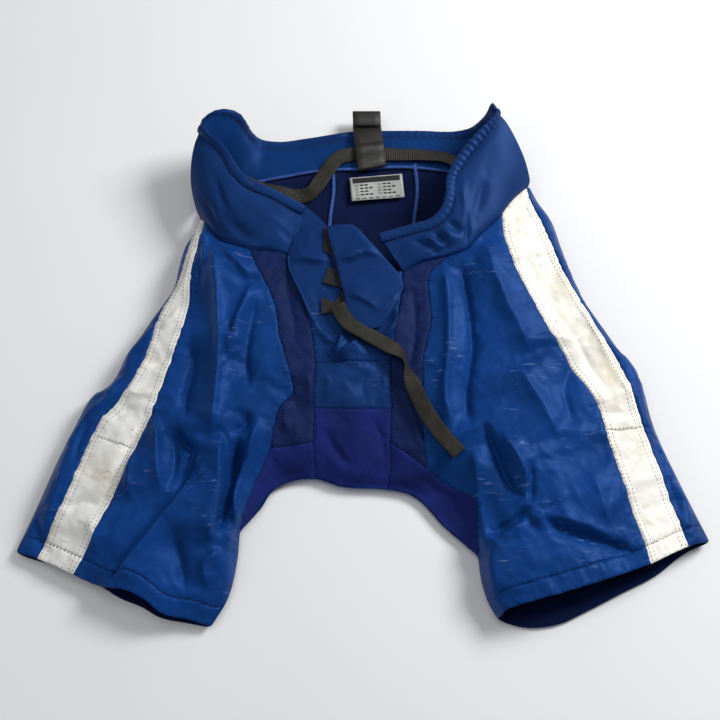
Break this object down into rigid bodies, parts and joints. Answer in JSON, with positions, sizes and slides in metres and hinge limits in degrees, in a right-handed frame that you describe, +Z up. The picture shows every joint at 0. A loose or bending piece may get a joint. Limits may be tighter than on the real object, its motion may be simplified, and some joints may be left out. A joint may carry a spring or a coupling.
{
  "type": "hockey pant shell",
  "caption": "Nylon shell pant for ice hockey lying on its back: padded waistband, open fly, webbing belt, mesh and knit crotch, white side stripes, short wide legs.",
  "frame": {"origin": "on the plane that the shell lies on, on the centre line, level with the wearer's hip joints", "axes": "+X to the wearer's left, +Y from the crotch towards the waist, +Z up from the seat to the fly"},
  "size_m": [0.788, 0.676, 0.0842],
  "materials": {
    "nylon": "woven nylon, semi-matt, worn",
    "lining_nylon": "quilted woven nylon, semi-matt",
    "knit": "matt warp knit",
    "mesh": "ribbed athletic mesh, matt",
    "stripe": "coated woven nylon, semi-matt, stained",
    "webbing": "ribbed polypropylene webbing, matt",
    "satin_webbing": "flat satin webbing, soft sheen",
    "fastener_tape": "hook-and-loop tape, matt",
    "foam": "soft open-cell foam",
    "elastic": "braided elastic",
    "label": "woven satin label"
  },
  "bodies": {
    "root": {"seat_panel": "nylon", "back_waistband": "nylon", "back_band_foam": "foam", "back_band_lining": "lining_nylon", "back_casing": "nylon", "lining_centre": "knit", "lining_right": "knit", "lining_left": "knit", "waist_elastic": "elastic", "right_front_yoke": "nylon", "right_yoke_foam": "foam", "right_yoke_lining": "knit", "right_front_casing": "nylon", "left_front_yoke": "nylon", "left_yoke_foam": "foam", "left_yoke_lining": "knit", "left_front_casing": "nylon", "fly_underlap": "nylon", "hook_patches": "fastener_tape", "fly_base": "nylon", "crotch_patch": "nylon", "crotch_gusset": "knit", "right_mesh_panel": "mesh", "left_mesh_panel": "mesh", "right_inner_thigh": "knit", "left_inner_thigh": "knit", "right_hip_front": "nylon", "left_hip_front": "nylon", "right_hip_side": "nylon", "left_hip_side": "nylon", "right_stripe_upper": "stripe", "left_stripe_upper": "stripe", "belt_webbing": "webbing", "belt_tail": "webbing", "belt_keeper": "satin_webbing"},
    "right_leg": {"right_thigh_front": "nylon", "right_side_panel": "nylon", "right_stripe_lower": "stripe", "right_thigh_back": "nylon", "right_front_hem": "nylon", "right_back_hem": "nylon"},
    "left_leg": {"left_thigh_front": "nylon", "left_side_panel": "nylon", "left_stripe_lower": "stripe", "left_thigh_back": "nylon", "left_front_hem": "nylon", "left_back_hem": "nylon"},
    "fly_flap": {"fly_flap": "nylon", "loop_patches": "fastener_tape"},
    "hanger_loop": {"hanger_loop": "satin_webbing"},
    "size_label": {"size_label": "label"}
  },
  "joints": [
    {"name": "right_leg_swing", "type": "hinge", "parent": "root", "child": "right_leg", "pos_m": [-0.09, -0.005, 0.015], "axis": [0, 0, 1], "range_deg": [-4, 12]},
    {"name": "left_leg_swing", "type": "hinge", "parent": "root", "child": "left_leg", "pos_m": [0.09, -0.005, 0.015], "axis": [0, 0, -1], "range_deg": [-4, 12]},
    {"name": "fly_flap_open", "type": "hinge", "parent": "root", "child": "fly_flap", "pos_m": [0.037, 0.107, 0.0585], "axis": [-0.4975, 0.8664, 0.0433], "range_deg": [0, 110]},
    {"name": "hanger_loop_lift", "type": "hinge", "parent": "root", "child": "hanger_loop", "pos_m": [0.008, 0.332, 0.0155], "axis": [1, 0, 0], "range_deg": [0, 90]},
    {"name": "size_label_lift", "type": "hinge", "parent": "root", "child": "size_label", "pos_m": [0.018, 0.261, 0.0095], "axis": [-1, 0, 0], "range_deg": [0, 80]}
  ]
}
